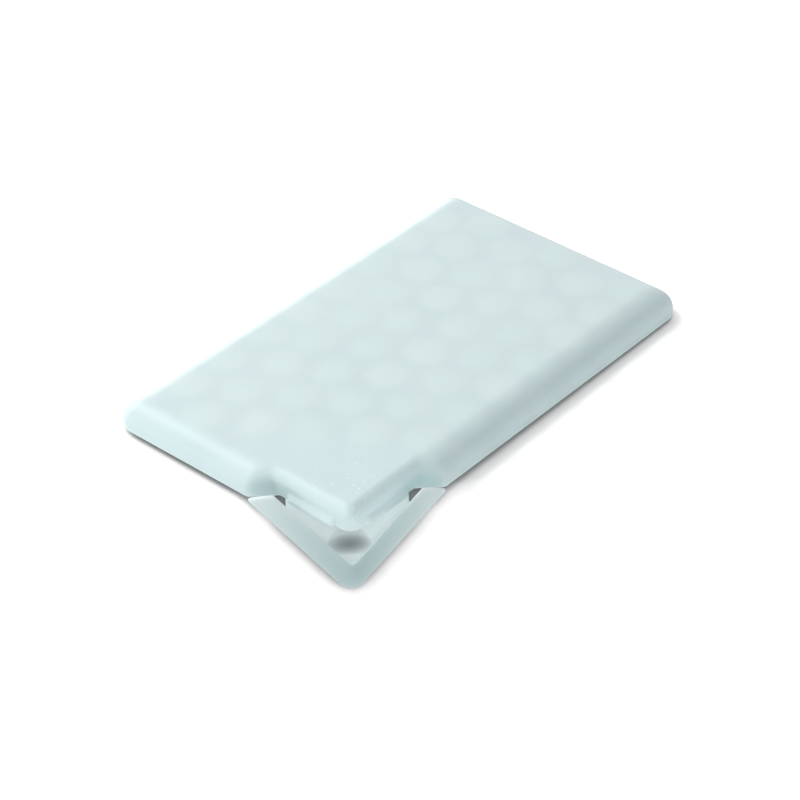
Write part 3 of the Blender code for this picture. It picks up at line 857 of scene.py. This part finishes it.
def make_film(material):
    """The film hinge: a thin web that bends from the base plate's edge to the flap's."""
    across = Vector((-1, -1, 0)).normalized()
    half = HINGE_AXIS * (FILM_LENGTH / 2)
    edge = HINGE_GAP / 2
    builder = bmesh.new()
    rows = []
    for step in range(FILM_STEPS + 1):
        share = step / FILM_STEPS
        turn = Matrix.Rotation(FLAP_OPEN_ANGLE * share, 3, HINGE_AXIS)
        out = across * (edge * (2 * share - 1))
        foot = HINGE_POINT + (turn @ out if share > 0.5 else out)
        rise = turn @ Vector((0, 0, 1)) * FILM_THICKNESS
        rows.append([builder.verts.new(foot - half), builder.verts.new(foot + half),
                     builder.verts.new(foot + half + rise),
                     builder.verts.new(foot - half + rise)])
    for first, second in zip(rows, rows[1:]):
        skin(builder, first, second)
    builder.faces.new(reversed(rows[0]))
    builder.faces.new(rows[-1])
    bmesh.ops.recalc_face_normals(builder, faces=builder.faces)
    piece = add_piece("film_skin", finish_mesh("film_skin", builder), material)
    smooth(piece, FILM_SHARP_ANGLE)
    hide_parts("hinge_film")
    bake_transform(piece)


def tablet_height(tree, sizes, held, level):
    """How high each corner of a tablet lies: on the shallow dome of a face, or on the band."""
    half_band = add_node(tree, "ShaderNodeMath", {0: sizes["Band"]}, {1: 0.5},
                         operation="MULTIPLY")
    half_thickness = add_node(tree, "ShaderNodeMath", {0: sizes["Thickness"]}, {1: 0.5},
                              operation="MULTIPLY")
    rise = add_node(tree, "ShaderNodeMath",
                    {0: half_thickness.outputs[0], 1: half_band.outputs[0]},
                    operation="SUBTRACT")
    squared = add_node(tree, "ShaderNodeMath", {0: held, 1: held}, operation="MULTIPLY")
    dome = add_node(tree, "ShaderNodeMath", {1: squared.outputs[0]}, {0: 1.0},
                    operation="SUBTRACT")
    face = add_node(tree, "ShaderNodeMath",
                    {0: rise.outputs[0], 1: dome.outputs[0], 2: half_band.outputs[0]},
                    operation="MULTIPLY_ADD")
    steepness = add_node(tree, "ShaderNodeMath", {0: half_band.outputs[0]},
                         {1: math.sqrt(1 - 1 / BALL_SPREAD ** 2)}, operation="DIVIDE")
    above = add_node(tree, "ShaderNodeMath", {0: level}, operation="ABSOLUTE")
    band = add_node(tree, "ShaderNodeMath", {0: above.outputs[0], 1: steepness.outputs[0]},
                    operation="MULTIPLY")
    height = add_node(tree, "ShaderNodeMath", {0: face.outputs[0], 1: band.outputs[0]},
                      {2: FACE_SOFTNESS}, operation="SMOOTH_MIN")
    side = add_node(tree, "ShaderNodeMath", {0: level}, operation="SIGN")
    return add_node(tree, "ShaderNodeMath", {0: height.outputs[0], 1: side.outputs[0]},
                    operation="MULTIPLY").outputs[0]


def pressed_tablet(tree, sizes):
    """One tablet, pressed from a ball: domed faces and a straight band between them."""
    ball = add_node(tree, "GeometryNodeMeshUVSphere",
                    values={"Segments": BALL_SEGMENTS, "Rings": BALL_RINGS, "Radius": 1.0})
    place = add_node(tree, "GeometryNodeInputPosition").outputs[0]
    parts = add_node(tree, "ShaderNodeSeparateXYZ", {"Vector": place}).outputs
    flat = add_node(tree, "ShaderNodeCombineXYZ", {"X": parts["X"], "Y": parts["Y"]}).outputs[0]
    out = add_node(tree, "ShaderNodeVectorMath", {0: flat}, operation="LENGTH").outputs["Value"]
    spread = add_node(tree, "ShaderNodeMath", {0: out}, {1: BALL_SPREAD}, operation="MULTIPLY")
    held = add_node(tree, "ShaderNodeMath", {0: spread.outputs[0]},
                    {1: 1.0, 2: RIM_SOFTNESS}, operation="SMOOTH_MIN").outputs[0]
    radius = add_node(tree, "ShaderNodeMath", {0: sizes["Diameter"]}, {1: 0.5},
                      operation="MULTIPLY")
    reach = add_node(tree, "ShaderNodeMath", {0: held, 1: radius.outputs[0]},
                     operation="MULTIPLY")
    growth = add_node(tree, "ShaderNodeMath", {0: reach.outputs[0], 1: out}, operation="DIVIDE")
    wide = add_node(tree, "ShaderNodeVectorMath", {0: flat, "Scale": growth.outputs[0]},
                    operation="SCALE")
    height = add_node(tree, "ShaderNodeCombineXYZ",
                      {"Z": tablet_height(tree, sizes, held, parts["Z"])})
    pressed = add_node(tree, "ShaderNodeVectorMath", {0: wide.outputs[0], 1: height.outputs[0]},
                       operation="ADD")
    tablet = add_node(tree, "GeometryNodeSetPosition",
                      {"Geometry": ball.outputs["Mesh"], "Position": pressed.outputs[0]})
    return tablet.outputs[0]


def mint_tree(material):
    """Geometry nodes that lay a tablet on every point, turned and slightly tilted at random."""
    tree = bpy.data.node_groups.new("mint_layer", "GeometryNodeTree")
    tree.interface.new_socket("Geometry", in_out="INPUT", socket_type="NodeSocketGeometry")
    for name in ("Diameter", "Thickness", "Band"):
        tree.interface.new_socket(name, in_out="INPUT", socket_type="NodeSocketFloat")
    tree.interface.new_socket("Seed", in_out="INPUT", socket_type="NodeSocketInt")
    tree.interface.new_socket("Geometry", in_out="OUTPUT", socket_type="NodeSocketGeometry")
    sizes = add_node(tree, "NodeGroupInput").outputs
    turn = add_node(tree, "FunctionNodeRandomValue", {"Seed": sizes["Seed"]},
                    {"Min": (-MINT_TILT, -MINT_TILT, 0.0),
                     "Max": (MINT_TILT, MINT_TILT, math.tau)}, data_type="FLOAT_VECTOR")
    laid = add_node(tree, "GeometryNodeInstanceOnPoints",
                    {"Points": sizes["Geometry"], "Instance": pressed_tablet(tree, sizes),
                     "Rotation": turn.outputs[0]})
    real = add_node(tree, "GeometryNodeRealizeInstances", {"Geometry": laid.outputs[0]})
    coloured = add_node(tree, "GeometryNodeSetMaterial", {"Geometry": real.outputs[0]},
                        {"Material": material})
    add_node(tree, "NodeGroupOutput", {"Geometry": coloured.outputs[0]})
    return tree


def make_mints(material):
    """All the mints of the one layer, each on its own place in the chamber."""
    mesh = bpy.data.meshes.new("mints")
    middles = [sum(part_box(node), Vector()) / 2 for node in MINT_NODES]
    mesh.from_pydata(middles, [], [])
    piece = add_piece("mints", mesh, material)
    tree = mint_tree(material)
    layer = piece.modifiers.new("layer", "NODES")
    layer.node_group = tree
    values = {"Diameter": MINT_DIAMETER, "Thickness": MINT_THICKNESS, "Band": MINT_BAND,
              "Seed": MINT_TURN_SEED}
    for socket in tree.interface.items_tree:
        if socket.in_out == "INPUT" and socket.name in values:
            layer[socket.identifier] = values[socket.name]
    bake(piece)
    smooth(piece, MINT_SHARP_ANGLE)
    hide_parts(*MINT_NODES)
    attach(piece, "case")


def shadowed_paper(tree, place):
    """The paper's colour for the camera: grey where the case or the flap hides the sky from it,
    further out below the flap than round the case."""
    height = add_node(tree, "ShaderNodeSeparateXYZ", {"Vector": place}).outputs["Z"]
    below = {"From Min": 0.0, "From Max": -FLAP_SHADOW_DEPTH}
    reach = add_node(tree, "ShaderNodeMapRange", {"Value": height},
                     {**below, "To Min": CONTACT_SHADOW_REACH, "To Max": FLAP_SHADOW_REACH})
    darkest = add_node(tree, "ShaderNodeMapRange", {"Value": height},
                       {**below, "To Min": CONTACT_SHADOW_DARKEST, "To Max": FLAP_SHADOW_DARKEST})
    open_sky = add_node(tree, "ShaderNodeAmbientOcclusion", {"Distance": reach.outputs[0]},
                        samples=CONTACT_SHADOW_SAMPLES)
    eased = add_node(tree, "ShaderNodeMapRange",
                     {"Value": open_sky.outputs["AO"], "From Min": darkest.outputs[0]},
                     {"From Max": CONTACT_SHADOW_LIGHTEST}, interpolation_type="SMOOTHSTEP")
    paper = add_node(tree, "ShaderNodeMix", {"Factor": eased.outputs[0]},
                     {"A": linear(CONTACT_SHADOW_HEX), "B": (*FLOOR_GAIN, 1.0)}, data_type="RGBA")
    return paper.outputs["Result"]


def white_paper():
    """Matt white paper: it keeps the case's shadow, and the camera sees its open parts white.

    Far from the case it is plain white, and from below it is clear, so the underside shows.
    """
    material, tree = new_material("white_paper")
    place = add_node(tree, "ShaderNodeTexCoord").outputs["Object"]
    seen = add_node(tree, "ShaderNodeBsdfDiffuse", {"Color": shadowed_paper(tree, place)})
    white = add_node(tree, "ShaderNodeEmission", values={"Strength": 1.0})
    away = add_node(tree, "ShaderNodeVectorMath", {0: place}, operation="LENGTH")
    far = add_node(tree, "ShaderNodeMapRange", {"Value": away.outputs["Value"]},
                   {"From Min": FLOOR_FADE_START, "From Max": FLOOR_FADE_END},
                   interpolation_type="SMOOTHSTEP")
    faded = add_node(tree, "ShaderNodeMixShader", {0: far.outputs[0], 1: seen.outputs[0],
                                                   2: white.outputs[0]})
    from_below = add_node(tree, "ShaderNodeNewGeometry").outputs["Backfacing"]
    clear = add_node(tree, "ShaderNodeBsdfTransparent")
    for_camera = add_node(tree, "ShaderNodeMixShader", {0: from_below, 1: faded.outputs[0],
                                                        2: clear.outputs[0]})
    matt = add_node(tree, "ShaderNodeBsdfDiffuse", values={"Color": linear(FLOOR_HEX)})
    glow = add_node(tree, "ShaderNodeEmission", values={"Strength": FLOOR_GLOW})
    for_case = add_node(tree, "ShaderNodeAddShader", {0: matt.outputs[0], 1: glow.outputs[0]})
    path = add_node(tree, "ShaderNodeLightPath").outputs
    paper = add_node(tree, "ShaderNodeMixShader", {0: path["Is Camera Ray"],
                                                   1: for_case.outputs[0],
                                                   2: for_camera.outputs[0]})
    add_node(tree, "ShaderNodeOutputMaterial", {"Surface": paper.outputs[0]})
    return material


def rounded_bend(before, corner, after, radius):
    """Points that round a bend of the floor's profile."""
    back = (before - corner).normalized()
    onward = (after - corner).normalized()
    set_back = radius / math.tan(back.angle(onward) / 2)
    start, end = corner + back * set_back, corner + onward * set_back
    points = []
    for step in range(FLOOR_BEND_STEPS + 1):
        share = step / FLOOR_BEND_STEPS
        points.append(start.lerp(corner, share).lerp(corner.lerp(end, share), share))
    return points


def make_floor():
    """A pale floor under the case, which falls away below the open flap."""
    hinge_line = HINGE_REACH / DIAGONAL
    back = (CASE_LENGTH + CASE_WIDTH) / DIAGONAL - CASE_CORNER_RADIUS
    slope = FLOOR_FRONT_GAP / (back - hinge_line)
    below = FLOOR_CLEARANCE / math.cos(FLAP_OPEN_ANGLE)
    bend = hinge_line + (below - FLOOR_FRONT_GAP) / math.tan(FLAP_OPEN_ANGLE)
    bend_height = (bend - back) * slope - FLOOR_BACK_GAP
    fall = FLOOR_DROP / math.tan(FLAP_OPEN_ANGLE)
    low = bend_height - FLOOR_DROP
    profile = [Vector((FLOOR_REACH, (FLOOR_REACH - back) * slope))]
    profile += rounded_bend(profile[0], Vector((bend, bend_height)), Vector((bend - fall, low)),
                            FLOOR_BEND_RADIUS)
    profile += rounded_bend(profile[-1], Vector((bend - fall, low)), Vector((-FLOOR_REACH, low)),
                            FLOOR_FOOT_BEND_RADIUS)
    profile.append(Vector((-FLOOR_REACH, low)))
    builder = bmesh.new()
    rows = [(builder.verts.new((out, -FLOOR_REACH, height)),
             builder.verts.new((out, FLOOR_REACH, height))) for out, height in profile]
    for first, second in zip(rows, rows[1:]):
        builder.faces.new((first[0], first[1], second[1], second[0]))
    mesh = finish_mesh("floor", builder)
    mesh.shade_smooth()
    mesh.transform(Matrix.Translation(CASE_CORNER) @ Matrix.Rotation(math.pi / 4, 4, "Z"))
    floor = add_piece("floor", mesh, white_paper())


def make_world():
    """Soft daylight all round; the camera, reflections and clear plastic see plain white."""
    world = bpy.data.worlds.new("studio")
    bpy.context.scene.world = world
    world.use_nodes = True
    tree = world.node_tree
    tree.nodes.clear()
    soft = add_node(tree, "ShaderNodeBackground",
                    values={"Color": linear(SKY_HEX), "Strength": SKY_STRENGTH})
    white = add_node(tree, "ShaderNodeBackground",
                     values={"Color": linear(WHITE_HEX), "Strength": 1.0})
    path = add_node(tree, "ShaderNodeLightPath").outputs
    seen = add_node(tree, "ShaderNodeMath", {0: path["Is Camera Ray"], 1: path["Is Glossy Ray"]},
                    operation="ADD")
    through = add_node(tree, "ShaderNodeMath",
                       {0: seen.outputs[0], 1: path["Is Transmission Ray"]},
                       operation="ADD", use_clamp=True)
    mix = add_node(tree, "ShaderNodeMixShader", {0: through.outputs[0], 1: soft.outputs[0],
                                                 2: white.outputs[0]})
    add_node(tree, "ShaderNodeOutputWorld", {"Surface": mix.outputs[0]})


def add_softbox(name, place, size, power):
    """A soft rectangular lamp that looks at the case."""
    lamp = bpy.data.lights.new(name, "AREA")
    lamp.shape = "RECTANGLE"
    lamp.size, lamp.size_y = size
    lamp.energy = power
    holder = bpy.data.objects.new(name, lamp)
    bpy.context.scene.collection.objects.link(holder)
    holder.location = place
    holder.rotation_euler = (-Vector(place)).to_track_quat("-Z", "Y").to_euler()


def make_camera():
    """The photo's own view of the case."""
    lens = bpy.data.cameras.new("camera")
    lens.lens = CAMERA_LENS
    lens.sensor_width = CAMERA_SENSOR
    lens.clip_start = CAMERA_NEAR
    camera = bpy.data.objects.new("camera", lens)
    bpy.context.scene.collection.objects.link(camera)
    camera.location = CAMERA_PLACE
    camera.rotation_euler = Vector(CAMERA_FORWARD).to_track_quat("-Z", "Y").to_euler()
    bpy.context.scene.camera = camera


def main():
    bpy.context.scene.view_settings.view_transform = "Standard"
    shell_wall = frosted_polypropylene("frosted_polypropylene_shell", CASE_TONES,
                                       SHELL_SEEN_THROUGH, SHELL_LIT_THROUGH)
    plate_wall = frosted_polypropylene("frosted_polypropylene_plate", CASE_TONES,
                                       PLATE_SEEN_THROUGH, PLATE_LIT_THROUGH)
    # The flap's material carries its painted shade and painted light
    flap_wall = frosted_polypropylene("frosted_polypropylene_flap_lit_and_shaded", FLAP_LIT_AND_SHADED_TONES,
                                      FLAP_SEEN_THROUGH, FLAP_LIT_THROUGH)
    make_shell(shell_wall)
    make_plate(plate_wall)
    make_flap(flap_wall)
    make_film(flap_wall)
    make_mints(pressed_mint())
    make_floor()
    make_world()
    for name, place, size, power in SOFTBOXES:
        add_softbox(name, place, size, power)
    make_camera()


main()
